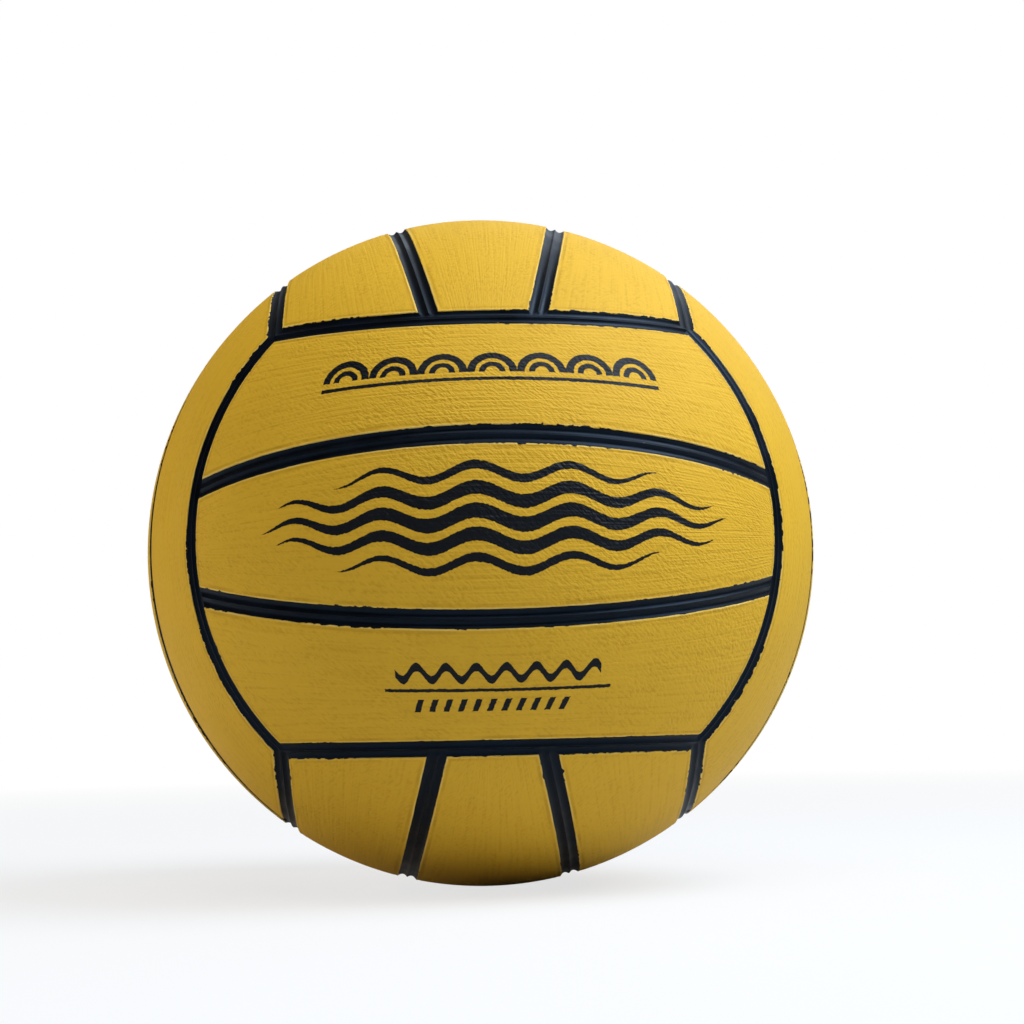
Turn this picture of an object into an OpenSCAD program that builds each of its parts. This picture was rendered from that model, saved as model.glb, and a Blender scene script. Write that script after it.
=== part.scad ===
// Water polo ball, full size. Eighteen rubber cover panels are bonded between the raised
// channels of a black carcass, which lies over a nylon winding and a butyl bladder.
// The ball's centre is the origin, +Z is up, the front face looks along -Y
// and the valve sits in the middle of the back face, on +Y.
// Each face of three strips is drawn once, as the front face, and turned to its place.

/* [Ball] */
// Diameter of the inflated ball over its panels
ball_d = 222; // [206:1:226]

/* [Cover panels] */
// Thickness of a cover panel
panel_t = 1.3; // [1.2:0.1:1.8]
// Bevel of a panel's rim, along its wall
panel_bevel = 0.3; // [0.2:0.05:0.5]
// Tilt in degrees of the two seams inside a face, which sets the centre panel's width
seam_tilt = 14; // [11:0.5:17]

/* [Channels] */
// Width of a channel, from panel to panel
channel_w = 6.4; // [6.2:0.1:7.6]
// Depth of a channel's middle ridge below the panels
ridge_depth = 0.5; // [0.3:0.05:0.6]
// Depth of the two grooves below the ridge
groove_depth = 0.6; // [0.4:0.05:0.7]
// Width of a groove
groove_w = 2.4; // [1.8:0.1:2.4]
// Distance between the middles of a channel's two grooves
groove_pitch = 3.1; // [2.8:0.1:3.1]

/* [Layers] */
// Thickness of the carcass under the panels
carcass_t = 0.5; // [0.4:0.05:1.0]
// Thickness of the nylon winding
winding_t = 0.5; // [0.3:0.05:1.0]
// Thickness of the bladder
bladder_t = 0.5; // [0.4:0.05:1.0]
// Film of cement between bonded pieces
bond_gap = 0.1; // [0.05:0.01:0.2]

/* [Valve] */
// Diameter of the valve housing's neck and pocket
neck_d = 8.4; // [8:0.1:10]
// Depth of the neck's end below the panels
neck_recess = 0.3; // [0.2:0.05:0.5]
// Length of the housing, from the panels' outside to the pocket's inner end
housing_len = 18; // [16:0.5:24]
// Diameter of the housing's flange inside the bladder
flange_d = 26; // [20:1:32]
// Thickness of the flange
flange_t = 1.2; // [0.8:0.1:1.6]
// Diameter of the patch ring round the neck
patch_d = 24; // [16:1:30]
// Diameter of the core's head
head_d = 6.4; // [6:0.1:6.8]
// Height of the core's head
head_h = 1.4; // [1:0.1:2]
// Depth of the core's head below the panels
head_recess = 0.7; // [0.6:0.05:1]
// Diameter of the core's shank
shank_d = 4.6; // [4.2:0.1:4.8]
// Diameter of the bulb that locks the core in its pocket
bulb_d = 5.8; // [5.4:0.1:6.2]
// Height of the bulb
bulb_h = 4; // [3:0.5:5]
// Length of the core
core_len = 14; // [12:0.5:15]
// Clearance round the core
core_gap = 0.1; // [0.05:0.01:0.15]
// Diameter of the needle hole in the core
needle_d = 2.2; // [2:0.1:2.6]
// Depth of the needle hole, to where the closed slit starts
needle_depth = 7; // [5:0.5:9]
// Diameter of the needle hole's mouth
mouth_d = 3.6; // [3:0.1:4]
// Depth of the mouth's taper
mouth_depth = 0.9; // [0.5:0.1:1.2]
// Diameter of the air hole at the pocket's inner end
air_hole_d = 3; // [2:0.1:3.6]

/* [Hidden] */
$fn = 128;
yellow = [0.87, 0.67, 0.14];
black = [0.07, 0.08, 0.10];

// Radii of the layers, from the outside inwards
ball_r = ball_d / 2;
panel_in_r = ball_r - panel_t;
ridge_r = ball_r - ridge_depth;
carcass_r = panel_in_r - bond_gap;
carcass_in_r = carcass_r - carcass_t;
winding_r = carcass_in_r - bond_gap;
winding_in_r = winding_r - winding_t;
bladder_r = winding_in_r - bond_gap;
bladder_in_r = bladder_r - bladder_t;

// The eight corners of the seam pattern lie as a cube's do, this many degrees from each axis
corner_angle = acos(1 / sqrt(3));

// Grooves: the radius of their round section, and how far out its middle lies
groove_r = (groove_w * groove_w / 4 + groove_depth * groove_depth) / (2 * groove_depth);
groove_mid_r = ridge_r - groove_depth + groove_r;
groove_angle = turn(groove_pitch / 2);
// Where two grooves meet they stop this short of each other, in a ball cut this much larger
groove_stop = 0.2;
joint_extra = 0.05;
// A groove that runs into another one lies this much shallower
run_in_step = 0.05;

// Slope in degrees of a rim's bevel from the wall
bevel_slope = 60;
// Cuts reach this far from the ball's centre
cut_reach = ball_r * 1.4;
// A cut that opens a face runs this far past it
overrun = 1;

// Degrees along the panels' surface for a length on it
function turn(length) = length / ball_r * 180 / PI;

// A point in the half-plane that turns about a seam's axis
function polar(r, angle) = [r * sin(angle), r * cos(angle)];

// The ball-shaped space, centred on the Z axis, whose surface passes through the circle at a
// polar angle and a distance from the ball's centre. There it rises at a slope from the line
// out of the centre, so that a slope of 0 crosses the panels squarely, as a panel's wall does.
module round_cut(angle, from_centre, slope) {
    edge = polar(from_centre, angle);
    translate([0, 0, edge[1] + edge[0] * tan(angle + slope)])
        sphere(edge[0] / abs(cos(angle + slope)));
}

module above_plane(height) {
    translate([-cut_reach, -cut_reach, height]) cube(2 * cut_reach);
}

module shell(outer_r, inner_r) {
    difference() {
        sphere(outer_r);
        sphere(inner_r);
    }
}

// The front face's centre strip between two radii, before its rim is bevelled.
// half_w is the distance of its walls from the middles of the seams.
module centre_strip(outer_r, inner_r, half_w) {
    intersection() {
        shell(outer_r, inner_r);
        rotate([90, 0, 0]) round_cut(corner_angle - turn(half_w), ball_r, 0);
        rotate([180 - seam_tilt, 0, 0]) above_plane(half_w);
        rotate([seam_tilt, 0, 0]) above_plane(half_w);
    }
}

// The front face's upper strip, in the same way
module outer_strip(outer_r, inner_r, half_w) {
    difference() {
        intersection() {
            shell(outer_r, inner_r);
            rotate([90, 0, 0]) round_cut(corner_angle - turn(half_w), ball_r, 0);
            rotate([-seam_tilt, 0, 0]) above_plane(half_w);
        }
        round_cut(corner_angle + turn(half_w), ball_r, 0);
    }
}

panel_half_w = channel_w / 2;
end_wall = corner_angle - turn(panel_half_w);
seam_wall = 90 - turn(panel_half_w);
long_wall = corner_angle + turn(panel_half_w);

rim_r = ball_r - panel_bevel;

module centre_panel() {
    intersection() {
        centre_strip(ball_r, panel_in_r, panel_half_w);
        rotate([90, 0, 0]) round_cut(end_wall, rim_r, -bevel_slope);
        rotate([180 - seam_tilt, 0, 0]) round_cut(seam_wall, rim_r, -bevel_slope);
        rotate([seam_tilt, 0, 0]) round_cut(seam_wall, rim_r, -bevel_slope);
    }
}

module outer_panel() {
    intersection() {
        outer_strip(ball_r, panel_in_r, panel_half_w);
        round_cut(long_wall, rim_r, bevel_slope);
        rotate([90, 0, 0]) round_cut(end_wall, rim_r, -bevel_slope);
        rotate([-seam_tilt, 0, 0]) round_cut(seam_wall, rim_r, -bevel_slope);
    }
}

// Row 1 is the upper strip, 0 the centre strip and -1 the lower one
module panel(row) {
    if (row == 0) {
        centre_panel();
    } else {
        rotate([0, row < 0 ? 180 : 0, 0]) outer_panel();
    }
}

// The seats of the front face's panels in the carcass, with the cement film round and under them
module pockets() {
    half_w = panel_half_w - bond_gap;
    centre_strip(ball_r, carcass_r, half_w);
    for (half_turn = [0, 180]) {
        rotate([0, half_turn, 0]) outer_strip(ball_r, carcass_r, half_w);
    }
}

// Turns what is drawn on the front face to a face. Thirds are turns about the corner axis,
// 0 for front and back, 1 for bottom and top, 2 for left and right.
module on_face(thirds, opposite) {
    rotate(a = 120 * thirds, v = [1, 1, 1])
        rotate([0, 0, opposite ? 180 : 0]) children();
}

module on_every_face() {
    for (thirds = [0, 1, 2]) {
        for (opposite = [false, true]) {
            on_face(thirds, opposite) children();
        }
    }
}

// A groove at a polar angle, running this many degrees to each side of the front's middle
module groove(angle, half_span, lift) {
    rotate([0, 0, -90 - half_span])
        rotate_extrude(angle = 2 * half_span)
            translate(polar(groove_mid_r + lift, angle)) circle(groove_r);
}

// Share of the radius that a joint of two grooves lies off the face's middle plane
joint_share = sqrt(1 - pow(cos(corner_angle + groove_angle), 2) - pow(cos(corner_angle - groove_angle), 2));
stop_angle = turn(groove_stop) / sin(corner_angle);

// The two grooves along the channel above the front face, from corner to corner
module long_grooves() {
    groove(corner_angle + groove_angle,
           atan2(joint_share, cos(corner_angle - groove_angle)) - stop_angle, 0);
    groove(corner_angle - groove_angle,
           atan2(cos(corner_angle + groove_angle), joint_share) - stop_angle, 0);
}

// Degrees that a groove beside an inner seam runs before it meets the near end groove
function inner_span(side) = acos(
    (cos(corner_angle - groove_angle) + side * sin(groove_angle) * sin(seam_tilt))
    / (cos(groove_angle) * cos(seam_tilt))
);

// The two grooves of the seam between the centre and upper strips
module inner_grooves() {
    for (side = [-1, 1]) {
        rotate([-seam_tilt, 0, 0]) groove(90 - side * groove_angle, inner_span(side), run_in_step);
    }
}

// The ball cuts that join the grooves at the front face's four corners
module corner_joints() {
    for (x_side = [-1, 1]) {
        for (z_side = [-1, 1]) {
            translate(groove_mid_r * [x_side * joint_share,
                                      -cos(corner_angle - groove_angle),
                                      z_side * cos(corner_angle + groove_angle)])
                sphere(groove_r + joint_extra);
        }
    }
}

// Valve pieces are drawn along +Z and turned onto the back face's axis
module on_valve_axis() {
    rotate([-90, 0, 0]) children();
}

neck_hole_r = neck_d / 2 + bond_gap;

// The hole that the valve's neck fills, through every layer
module neck_hole() {
    translate([0, 0, ball_r / 2]) cylinder(r = neck_hole_r, h = ball_r);
}

module cover_panel(thirds, opposite, row) {
    color(yellow) on_face(thirds, opposite) panel(row);
}

module front_centre_panel() { cover_panel(0, false, 0); }
module front_upper_panel() { cover_panel(0, false, 1); }
module front_lower_panel() { cover_panel(0, false, -1); }

module back_centre_panel() {
    color(yellow) difference() {
        on_face(0, true) panel(0);
        on_valve_axis() neck_hole();
    }
}

module back_upper_panel() { cover_panel(0, true, 1); }
module back_lower_panel() { cover_panel(0, true, -1); }
module left_centre_panel() { cover_panel(2, false, 0); }
module left_front_panel() { cover_panel(2, false, -1); }
module left_rear_panel() { cover_panel(2, false, 1); }
module right_centre_panel() { cover_panel(2, true, 0); }
module right_front_panel() { cover_panel(2, true, -1); }
module right_rear_panel() { cover_panel(2, true, 1); }
module top_centre_panel() { cover_panel(1, true, 0); }
module top_left_panel() { cover_panel(1, true, -1); }
module top_right_panel() { cover_panel(1, true, 1); }
module bottom_centre_panel() { cover_panel(1, false, 0); }
module bottom_left_panel() { cover_panel(1, false, -1); }
module bottom_right_panel() { cover_panel(1, false, 1); }

// Black rubber shell whose raised lattice stands between the panels, with two round
// grooves and a low ridge along every seam
module carcass() {
    color(black) difference() {
        shell(ridge_r, carcass_in_r);
        on_every_face() pockets();
        on_every_face() {
            for (half_turn = [0, 180]) {
                rotate([0, half_turn, 0]) {
                    long_grooves();
                    inner_grooves();
                }
            }
            corner_joints();
        }
        on_valve_axis() neck_hole();
    }
}

// Thread wound round the bladder in great circles, drawn as one layer
module nylon_winding() {
    color("ivory") on_valve_axis() difference() {
        shell(winding_r, winding_in_r);
        translate([0, 0, ball_r / 2]) cylinder(r = patch_d / 2 + bond_gap, h = ball_r);
    }
}

module bladder() {
    color([0.16, 0.15, 0.15]) on_valve_axis() difference() {
        shell(bladder_r, bladder_in_r);
        neck_hole();
    }
}

// Ring of rubbered canvas that fills the winding's opening round the neck
module valve_patch() {
    color("tan") on_valve_axis() difference() {
        intersection() {
            shell(winding_r, winding_in_r);
            translate([0, 0, ball_r / 2]) cylinder(r = patch_d / 2, h = ball_r);
        }
        neck_hole();
    }
}

// Outline of the core, grown by a gap for the pocket that it fills
function core_outline(gap) = [
    [0, core_top + gap],
    [head_d / 2 + gap, core_top + gap],
    [head_d / 2 + gap, core_top - head_h - gap],
    [shank_d / 2 + gap, core_top - head_h - gap],
    [shank_d / 2 + gap, bulb_mid + bulb_h / 2 + gap],
    [bulb_d / 2 + gap, bulb_mid + bulb_h / 4 + gap],
    [bulb_d / 2 + gap, bulb_mid - bulb_h / 4 - gap],
    [shank_d / 2 + gap, bulb_mid - bulb_h / 2 - gap],
    [shank_d / 2 + gap, core_top - core_len - gap],
    [0, core_top - core_len - gap]
];
core_top = ball_r - head_recess;
// Share of the core's length at which its bulb sits
bulb_share = 0.65;
bulb_mid = core_top - core_len * bulb_share;

// Rubber housing: a neck through the layers, a flange bonded inside the bladder
// and a pocket that holds the core
module valve_housing() {
    flange_r = bladder_in_r - bond_gap;
    color([0.10, 0.10, 0.11]) on_valve_axis() difference() {
        union() {
            intersection() {
                sphere(ball_r - neck_recess);
                translate([0, 0, ball_r - housing_len]) cylinder(d = neck_d, h = housing_len);
            }
            intersection() {
                shell(flange_r, flange_r - flange_t);
                translate([0, 0, ball_r / 2]) cylinder(d = flange_d, h = ball_r);
            }
        }
        rotate_extrude() polygon(core_outline(core_gap));
        translate([0, 0, core_top]) cylinder(r = head_d / 2 + core_gap, h = overrun);
        translate([0, 0, ball_r - housing_len - overrun]) cylinder(d = air_hole_d, h = housing_len / 2);
    }
}

// Self-closing plug, pushed in from outside, with a blind lead-in for the needle
module valve_core() {
    color([0.13, 0.13, 0.14]) on_valve_axis() difference() {
        rotate_extrude() polygon(core_outline(0));
        translate([0, 0, core_top - needle_depth]) cylinder(d = needle_d, h = needle_depth + overrun);
        translate([0, 0, core_top - mouth_depth])
            cylinder(d1 = needle_d, d2 = mouth_d, h = mouth_depth);
    }
}

front_centre_panel();
front_upper_panel();
front_lower_panel();
back_centre_panel();
back_upper_panel();
back_lower_panel();
left_centre_panel();
left_front_panel();
left_rear_panel();
right_centre_panel();
right_front_panel();
right_rear_panel();
top_centre_panel();
top_left_panel();
top_right_panel();
bottom_centre_panel();
bottom_left_panel();
bottom_right_panel();
carcass();
nylon_winding();
bladder();
valve_patch();
valve_housing();
valve_core();
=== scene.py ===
import math
import bpy
import numpy as np
from mathutils import Matrix, Vector, noise


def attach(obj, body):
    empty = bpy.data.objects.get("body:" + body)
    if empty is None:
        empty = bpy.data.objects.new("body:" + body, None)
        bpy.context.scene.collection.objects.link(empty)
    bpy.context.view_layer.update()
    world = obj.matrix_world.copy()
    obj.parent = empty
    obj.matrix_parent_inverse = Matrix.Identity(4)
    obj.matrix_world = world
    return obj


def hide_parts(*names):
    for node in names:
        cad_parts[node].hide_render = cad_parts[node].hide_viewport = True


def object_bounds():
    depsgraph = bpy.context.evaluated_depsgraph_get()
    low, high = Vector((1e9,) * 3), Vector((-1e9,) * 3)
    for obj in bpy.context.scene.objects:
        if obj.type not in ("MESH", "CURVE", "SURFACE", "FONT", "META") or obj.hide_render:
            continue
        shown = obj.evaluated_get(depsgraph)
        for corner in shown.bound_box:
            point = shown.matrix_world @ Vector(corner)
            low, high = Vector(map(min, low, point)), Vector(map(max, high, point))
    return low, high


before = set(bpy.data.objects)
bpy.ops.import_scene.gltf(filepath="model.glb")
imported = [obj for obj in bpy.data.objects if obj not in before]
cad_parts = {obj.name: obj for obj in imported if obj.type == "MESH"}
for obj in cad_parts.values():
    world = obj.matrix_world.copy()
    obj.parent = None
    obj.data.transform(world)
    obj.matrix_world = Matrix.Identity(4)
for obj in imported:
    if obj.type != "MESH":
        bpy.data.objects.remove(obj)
cad_low, cad_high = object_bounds()

# Studio: the ball stands on a pale floor in a pale room, under broad soft lamps.
# The camera looks at the ball's front face from a little below its middle. What the ball
# mirrors of the room is brightest above it and to its right.
ball_r = min(cad_high - cad_low) / 2
camera_distance = 6.6 * ball_r
view_azimuth = -1.54
view_height = -4.15
view_roll = math.radians(1.21)
lens_length = 76.35
lens_shift = (0.0307, 0.0402)
room_white = (1.0, 1.0, 1.0, 1.0)
room_dark = (0.0, 0.0, 0.0, 1.0)
bright_side = (0.60, 0.10, 0.79)
bright_from = 0.95
room_dim_share = 0.05
room_bright_share = 0.25
floor_mirrored_share = 0.06
floor_pale = (0.69, 0.69, 0.69, 1.0)
floor_half = 3.0
floor_glow = 0.72
floor_glow_start = 0.35
floor_glow_end = 1.2
# Each lamp: its place in degrees to the right of the ball's front and up, its size, its power and
# its white, which is a little cooler where the light comes as from a window
window_white = (0.76, 0.87, 1.0)
lamp_white = (1.0, 1.0, 1.0)
lamp_distance = 1.2
lamps = {
    "key_lamp": (70, 50, 1.0, 22.2, window_white),
    "top_lamp": (-2, 57, 0.8, 5.2, lamp_white),
    "left_lamp": (-105, 0, 1.4, 15.5, lamp_white),
    "back_lamp": (150, 45, 1.2, 3.6, window_white),
}


def add(tree, kind, inputs=None, **settings):
    """A new node with its settings, whose inputs are numbers, colours or other nodes' outputs."""
    made = tree.nodes.new(kind)
    for name, value in settings.items():
        setattr(made, name, value)
    for key, value in (inputs or {}).items():
        if isinstance(value, bpy.types.NodeSocket):
            tree.links.new(value, made.inputs[key])
        else:
            made.inputs[key].default_value = value
    return made


def calc(tree, operation, *values, clamp=False):
    """The output of a Math node."""
    made = add(tree, "ShaderNodeMath", dict(enumerate(values)), operation=operation, use_clamp=clamp)
    return made.outputs[0]


def mix(tree, factor, low, high, kind="RGBA"):
    """From one colour or number to another, by a factor."""
    made = add(tree, "ShaderNodeMix", {"Factor": factor, "A": low, "B": high}, data_type=kind)
    return made.outputs["Result"]


def ramp(tree, value, start, end, least=0.0, most=1.0, kind="LINEAR"):
    """The least where the value is at its start, the most where it's at its end."""
    made = add(tree, "ShaderNodeMapRange", {
        "Value": value, "From Min": start, "From Max": end, "To Min": least, "To Max": most},
        interpolation_type=kind)
    return made.outputs["Result"]


def new_material(name):
    """A material, its node tree, the socket its surface goes to, and the places on its piece."""
    made = bpy.data.materials.new(name)
    made.use_nodes = True
    tree = made.node_tree
    tree.nodes.clear()
    out = tree.nodes.new("ShaderNodeOutputMaterial").inputs["Surface"]
    return made, tree, out, add(tree, "ShaderNodeTexCoord").outputs["Object"]


def new_object(name, data):
    """An object in the scene that shows this mesh, lamp or camera."""
    made = bpy.data.objects.new(name, data)
    bpy.context.scene.collection.objects.link(made)
    return made


def seen_directly(tree, mirrored_share=1.0):
    """1 for what the camera shows, a share for what a reflection or a clear piece shows, and 0
    for light that falls on things."""
    path = add(tree, "ShaderNodeLightPath")
    glossy, clear = path.outputs["Is Glossy Ray"], path.outputs["Is Transmission Ray"]
    mirrored = calc(tree, "ADD", glossy, clear, clamp=True)
    return calc(tree, "MULTIPLY_ADD", mirrored, mirrored_share, path.outputs["Is Camera Ray"], clamp=True)


world = bpy.data.worlds.new("room")
bpy.context.scene.world = world
world.use_nodes = True
tree = world.node_tree
tree.nodes.clear()
room_colour = mix(tree, seen_directly(tree), room_dark, room_white)
way = add(tree, "ShaderNodeTexCoord").outputs["Generated"]
brightness = add(tree, "ShaderNodeVectorMath", {0: way, 1: bright_side}, operation="DOT_PRODUCT")
mirrored_room = ramp(tree, brightness.outputs["Value"], 0.0, bright_from,
                     room_dim_share, room_bright_share)
camera_ray = add(tree, "ShaderNodeLightPath").outputs["Is Camera Ray"]
room_strength = calc(tree, "MAXIMUM", camera_ray, mirrored_room)
room_light = add(tree, "ShaderNodeBackground", {"Color": room_colour, "Strength": room_strength})
add(tree, "ShaderNodeOutputWorld", {"Surface": room_light.outputs[0]})

floor_mesh = bpy.data.meshes.new("floor")
floor_mesh.from_pydata(
    [(x * floor_half, y * floor_half, -ball_r) for x, y in ((-1, -1), (1, -1), (1, 1), (-1, 1))],
    [], [(0, 1, 2, 3)])
floor = new_object("floor", floor_mesh)
floor_material, tree, out, place = new_material("floor_paper")
away = add(tree, "ShaderNodeVectorMath", {0: place}, operation="LENGTH").outputs["Value"]
far_off = ramp(tree, away, floor_glow_start, floor_glow_end, floor_glow)
paper = add(tree, "ShaderNodeBsdfDiffuse", {"Color": floor_pale})
glow = add(tree, "ShaderNodeEmission", {"Color": room_white})
mixed = add(tree, "ShaderNodeMixShader", {
    0: calc(tree, "MULTIPLY", seen_directly(tree, floor_mirrored_share), far_off),
    1: paper.outputs[0], 2: glow.outputs[0]})
tree.links.new(mixed.outputs[0], out)
floor_mesh.materials.append(floor_material)


def towards(azimuth, height):
    """The way from the ball, this many degrees to the right of its front and this many up."""
    around, up = math.radians(azimuth), math.radians(height)
    return Vector((math.sin(around) * math.cos(up), -math.cos(around) * math.cos(up), math.sin(up)))


for lamp_name, (azimuth, height, size, power, white) in lamps.items():
    lamp = new_object(lamp_name, bpy.data.lights.new(lamp_name, "AREA"))
    lamp.data.shape = "DISK"
    lamp.data.size = size
    lamp.data.energy = power
    lamp.data.color = white
    lamp.location = towards(azimuth, height) * lamp_distance
    lamp.rotation_euler = (-lamp.location).to_track_quat("-Z", "Y").to_euler()
    # The left one only fills the shade, and no gloss mirrors it
    lamp.visible_glossy = lamp_name != "left_lamp"

camera = new_object("camera", bpy.data.cameras.new("camera"))
bpy.context.scene.camera = camera
camera.data.lens = lens_length
camera.data.shift_x, camera.data.shift_y = lens_shift
camera.location = towards(view_azimuth, view_height) * camera_distance
aim = (-camera.location).to_track_quat("-Z", "Y").to_matrix()
camera.rotation_euler = (aim @ Matrix.Rotation(-view_roll, 3, "Z")).to_euler()
bpy.context.scene.view_settings.view_transform = "Standard"


# Carcass: one black rubber shell, moulded with a raised lattice that stands between the cover
# panels. Along every seam the lattice has two round grooves with a low ridge between them.
# One face's part is laid out here, and the node tree raises its section and turns it six times.
channel_half = 0.0029
seam_tilt = math.radians(14)
corner_height = math.asin(1 / math.sqrt(3))
corner_angle = math.pi / 2 - corner_height
panel_t = 0.0013
cement_t = 0.0001
ridge_depth = 0.0003
lip_depth = 0.00025
groove_depth = 0.0007
crest_softness = 0.12
carcass_in_r = ball_r - 0.0019
lattice_edge = channel_half + cement_t
lines_in_half_channel = 10
lines_in_pocket = 13
inner_subdivisions = 5
neck_hole_sides = 64
sharp_angle = math.radians(55)
weld_reach = 0.00001
carcass_black = (0.0012, 0.0018, 0.0028, 1.0)
carcass_worn = (0.0030, 0.0046, 0.0080, 1.0)
black_gloss_tint = (0.42, 0.66, 1.0, 1.0)
panel_dust = (0.30, 0.21, 0.06, 1.0)
black_gloss = 0.15
smear_size = 0.011
mould_grain_size = 0.0007
mould_grain_depth = 0.00005
mould_grain_strength = 0.6
speck_cell = 0.0042
speck_reach = 1.6
# Smears dull the black between these two values of their noise
smear_start = 0.35
smear_end = 0.7
smear_rough_start = 0.3
neck_hole_r = 0.0043
# A distance that stands for a line that isn't there
nowhere = 1.0
# Where a line ends is found from a guess that closes in on it
first_guess = 0.8
closing_steps = 12


def under_border(offset):
    """Height angle of the line this far below a face's upper border, at each angle round the face."""
    return lambda around: np.full_like(around, corner_height - offset / ball_r)


def over_seam(offset):
    """Height angle of the line this far above a face's upper inner seam."""
    def line(around):
        rise = math.sin(seam_tilt) * np.cos(around)
        run = math.cos(seam_tilt)
        return np.arctan2(rise, run) + np.arcsin(math.sin(offset / ball_r) / np.hypot(rise, run))
    return line


def between(low, high, share):
    """Height angle of a line at a share of the way from one line to another."""
    return lambda around: (1 - share) * low(around) + share * high(around)


def mirrored(line):
    return lambda around: -line(around)


def end_angle(line, offset):
    """How far round the face a line runs before it's this near the face's end."""
    angle = np.array([first_guess])
    for step in range(closing_steps):
        angle = np.arccos(np.cos(corner_angle - offset / ball_r) / np.cos(line(angle)))
    return float(angle[0])


def on_face(lines, end_offsets, shares, wall_offset):
    """Unit vectors and angles where the lines cross columns, which keep their distances from
    both ends and their shares of the stretch between."""
    found = []
    for line in lines:
        ends = [end_angle(line, offset) for offset in end_offsets]
        around = np.array([-a for a in ends] + list(shares * end_angle(line, wall_offset)) + ends[::-1])
        found.append(np.stack([around, line(around)], 1))
    angles = np.stack(found)
    around, height = angles[..., 0], angles[..., 1]
    points = np.stack([np.sin(around) * np.cos(height), -np.cos(around) * np.cos(height), np.sin(height)], 2)
    return points, angles


def grid_faces(rows, columns):
    """Quads between the crossings of a grid, seen from outside the ball."""
    corner = np.arange(rows * columns).reshape(rows, columns)
    return np.stack([corner[:-1, :-1], corner[:-1, 1:], corner[1:, 1:], corner[1:, :-1]], -1).reshape(-1, 4)


def mesh_from(name, points, faces, values):
    """A mesh in the ball's frame, with a named number stored at each of its points."""
    made = bpy.data.meshes.new(name)
    made.from_pydata(np.asarray(points).reshape(-1, 3).tolist(), [], np.asarray(faces).tolist())
    for key, numbers in values.items():
        layer = made.attributes.new(key, "FLOAT", "POINT")
        layer.data.foreach_set("value", np.asarray(numbers, np.float32).ravel())
    return made


# The lines over the upper half of a face, from its middle: half a pocket, the inner seam's
# channel, a pocket and half of the border's channel
half_channel = lattice_edge * (1 - np.cos(np.linspace(0, math.pi, lines_in_half_channel + 1))) / 2
pocket_shares = np.linspace(0, 1, lines_in_pocket + 1)
strip_end = over_seam(-lattice_edge)
middle_lines = [(between(mirrored(strip_end), strip_end, s), nowhere, nowhere, 1)
                for s in pocket_shares]
seam_lines = [(over_seam(side * d), nowhere, d, 0)
              for side, steps in ((-1, half_channel[:0:-1]), (1, half_channel)) for d in steps]
upper_lines = [(between(over_seam(lattice_edge), under_border(lattice_edge), s), nowhere, nowhere, 1)
               for s in pocket_shares]
border_lines = [(under_border(d), d, nowhere, 0) for d in half_channel[::-1]]
top_lines = seam_lines + upper_lines + border_lines
face_lines = [(mirrored(line), *rest) for line, *rest in top_lines[::-1]] + middle_lines + top_lines

lines = [row[0] for row in face_lines]
row_border = np.array([row[1] for row in face_lines])
row_seam = np.array([row[2] for row in face_lines])
row_pocket = np.array([row[3] for row in face_lines])
# A face's columns cross its border where its neighbour's lines end, so that the faces share points
inner_lines = lines[len(half_channel):-len(half_channel)]
meets = np.array([math.sin(float(line(np.array([end_angle(line, 0)]))[0])) for line in inner_lines])
column_shares = np.arcsin(meets / math.cos(corner_height))
column_shares = column_shares / column_shares[-1]
directions = on_face(lines, half_channel, column_shares, lattice_edge)[0]
# The upper border's points are laid exactly where the top face's lines end, so that the weld closes
top_from_front = Matrix.Rotation(2 * math.pi / 3, 3, Vector((1, 1, 1))) @ Matrix.Rotation(math.pi, 3, "Z")
directions[-1] = directions[:, -1] @ np.array(top_from_front).T
directions[0] = directions[-1] * (1, 1, -1)
column_border = np.concatenate([half_channel, np.full(len(column_shares), nowhere), half_channel[::-1]])
column_pocket = (column_border == nowhere) * 1
face_mesh = mesh_from("lattice_face", directions * ball_r, grid_faces(*directions.shape[:2]), {
    "from_border": np.minimum(row_border[:, None], column_border[None, :]),
    "from_seam": np.broadcast_to(row_seam[:, None], directions.shape[:2]),
    "in_pocket": row_pocket[:, None] * column_pocket[None, :],
})


# What a node group's sockets carry, where it isn't a number
socket_kinds = {
    "Geometry": "NodeSocketGeometry", "Material": "NodeSocketMaterial",
    "Place": "NodeSocketVector", "Strip": "NodeSocketVector"}


def new_tree(name, kind, inputs, outputs):
    """A node group with named sockets, and what it's given and what it puts out."""
    made = bpy.data.node_groups.new(name, kind)
    for side, socket_names in (("INPUT", inputs), ("OUTPUT", outputs)):
        for socket_name in socket_names:
            socket_kind = socket_kinds.get(socket_name, "NodeSocketFloat")
            made.interface.new_socket(socket_name, in_out=side, socket_type=socket_kind)
    return made, made.nodes.new("NodeGroupInput").outputs, made.nodes.new("NodeGroupOutput").inputs


section_sizes = ["Half Width", "Ridge Depth", "Lip Depth", "Groove Depth", "Softness"]


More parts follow.
